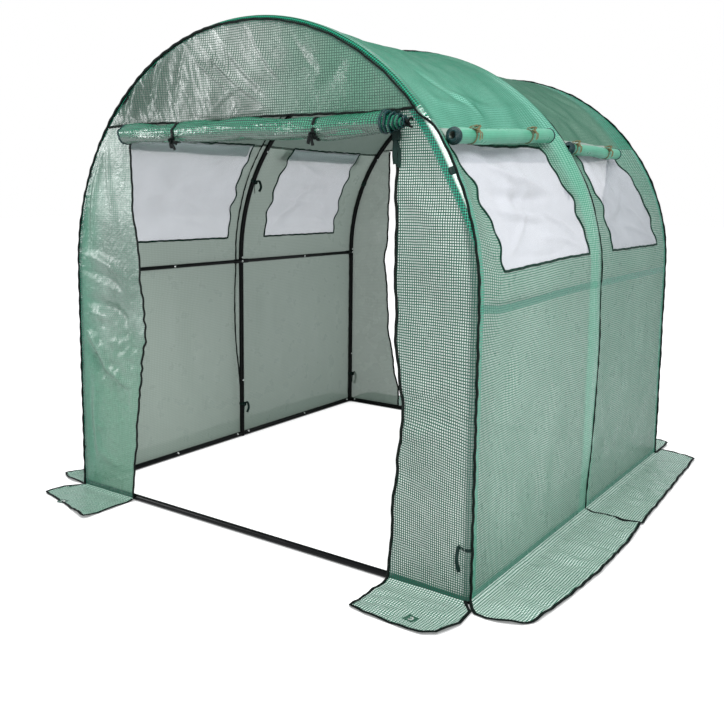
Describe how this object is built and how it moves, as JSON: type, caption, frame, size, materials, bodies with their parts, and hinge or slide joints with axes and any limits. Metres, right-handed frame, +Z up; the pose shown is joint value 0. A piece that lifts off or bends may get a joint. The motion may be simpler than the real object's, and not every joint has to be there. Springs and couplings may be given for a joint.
{
  "type": "polytunnel greenhouse",
  "caption": "Walk-in tunnel greenhouse: arched steel tube frame under a green ripstop film cover with rolled-up doors, rolled-up side flaps over insect mesh windows, and ground skirts",
  "frame": {"origin": "centre of the footprint, on the ground", "axes": "+Z up, the front door faces -Y, X runs across the tunnel"},
  "size_m": [2.4696, 2.6536, 2.0019],
  "materials": {
    "frame_tube": "dark green-black powder coat",
    "cover_green": "woven and coated polyethylene film with a fine square grid",
    "cover_clear": "see-through reinforced film with a dark green grid",
    "window_mesh": "fine white insect mesh",
    "piping": "dark green woven tape",
    "tie": "twisted twine",
    "ribbon": "flat woven ribbon",
    "eyelet": "pressed metal"
  },
  "bodies": {
    "root": {"front_arch_piping": "piping", "front_base_bar": "frame_tube", "front_crown_bow": "frame_tube", "front_door_ribbons": "ribbon", "front_door_roll": "cover_green", "front_feet": "frame_tube", "front_left_panel": "cover_clear", "front_legs": "frame_tube", "front_lunette": "cover_clear", "front_right_panel": "cover_clear", "front_shoulder_bows": "frame_tube", "front_skirts": "cover_green", "left_base_bars": "frame_tube", "left_rails": "frame_tube", "left_skirts": "cover_green", "left_wall_front_bay": "cover_green", "left_wall_rear_bay": "cover_green", "left_window_meshes": "window_mesh", "left_window_rolls": "cover_green", "middle_arch_piping": "piping", "middle_crown_bow": "frame_tube", "middle_feet": "frame_tube", "middle_legs": "frame_tube", "middle_shoulder_bows": "frame_tube", "peg_eyelets": "eyelet", "rear_arch_piping": "piping", "rear_base_bar": "frame_tube", "rear_crown_bow": "frame_tube", "rear_door_ribbons": "ribbon", "rear_door_roll": "cover_green", "rear_feet": "frame_tube", "rear_left_panel": "cover_clear", "rear_legs": "frame_tube", "rear_lunette": "cover_clear", "rear_right_panel": "cover_clear", "rear_shoulder_bows": "frame_tube", "rear_skirts": "cover_green", "right_base_bars": "frame_tube", "right_rails": "frame_tube", "right_skirts": "cover_green", "right_wall_front_bay": "cover_green", "right_wall_rear_bay": "cover_green", "right_window_meshes": "window_mesh", "right_window_rolls": "cover_green", "roof_front_bay": "cover_green", "roof_rear_bay": "cover_green", "window_bindings": "piping", "window_ties": "tie"}
  },
  "joints": []
}
